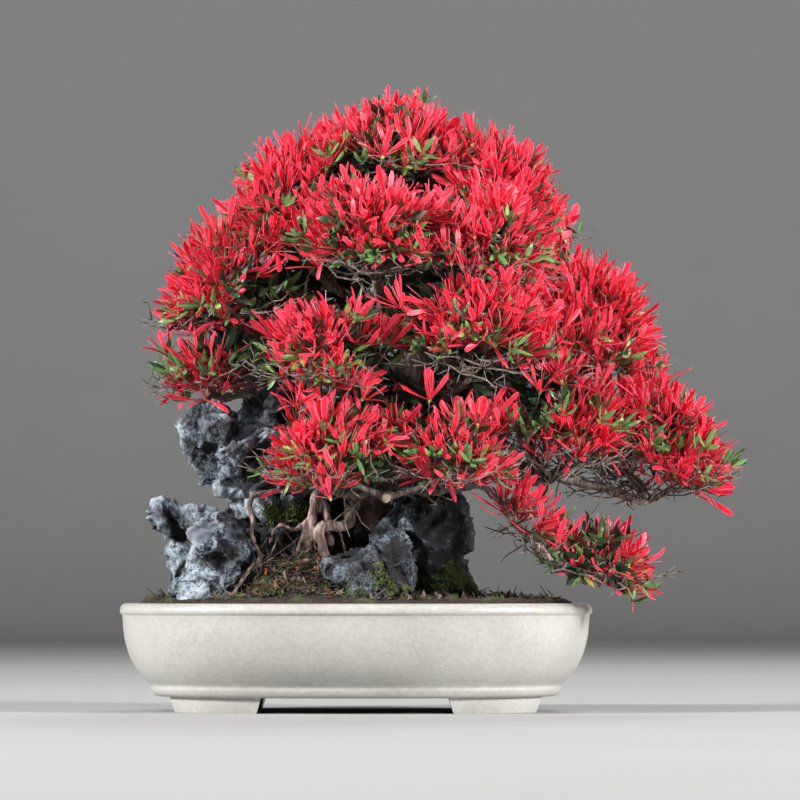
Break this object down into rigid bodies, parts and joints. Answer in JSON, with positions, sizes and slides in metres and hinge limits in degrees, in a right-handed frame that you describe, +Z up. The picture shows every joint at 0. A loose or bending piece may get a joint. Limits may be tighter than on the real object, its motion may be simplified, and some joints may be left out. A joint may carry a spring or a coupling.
{
  "type": "flowering bonsai tree in a pot",
  "caption": "Azalea bonsai rooted over rough stones in a shallow oval glazed pot on feet, with pads of narrow-petalled red flowers over green leaves.",
  "frame": {"origin": "the middle of the whole plant's bounding box, at the soles of the pot's feet", "axes": "+Z up, +X along the pot to the side of the long drooping branch, -Y the side the bonsai is seen from"},
  "size_m": [0.5966, 0.3986, 0.5975],
  "materials": {
    "pot_glaze": "satin",
    "drain_net": "matte",
    "stone": "matte",
    "soil": "matte",
    "bark": "matte",
    "leaves": "satin",
    "petals": "satin"
  },
  "bodies": {
    "root": {"pot": "pot_glaze", "drain_net_left": "drain_net", "drain_net_right": "drain_net", "stone_high": "stone", "stone_low": "stone", "stone_right": "stone", "stone_front": "stone", "soil": "soil", "trunk": "bark", "spray_crown": "leaves", "blooms_crown": "petals", "spray_crown_right": "leaves", "blooms_crown_right": "petals", "spray_shoulder_left": "leaves", "blooms_shoulder_left": "petals", "spray_front_high": "leaves", "blooms_front_high": "petals", "spray_front_high_right": "leaves", "blooms_front_high_right": "petals", "spray_back_high": "leaves", "blooms_back_high": "petals", "spray_wing_left": "leaves", "blooms_wing_left": "petals", "spray_front_mid_left": "leaves", "blooms_front_mid_left": "petals", "spray_front_mid": "leaves", "blooms_front_mid": "petals", "spray_wing_right": "leaves", "blooms_wing_right": "petals", "spray_back_left": "leaves", "blooms_back_left": "petals", "spray_back_right": "leaves", "blooms_back_right": "petals", "spray_wing_low_left": "leaves", "blooms_wing_low_left": "petals", "spray_front_low_left": "leaves", "blooms_front_low_left": "petals", "spray_front_low": "leaves", "blooms_front_low": "petals", "spray_arm_right": "leaves", "blooms_arm_right": "petals", "spray_arm_right_tip": "leaves", "blooms_arm_right_tip": "petals", "spray_drooping_right": "leaves", "blooms_drooping_right": "petals", "spray_back_low": "leaves", "blooms_back_low": "petals"}
  },
  "joints": []
}
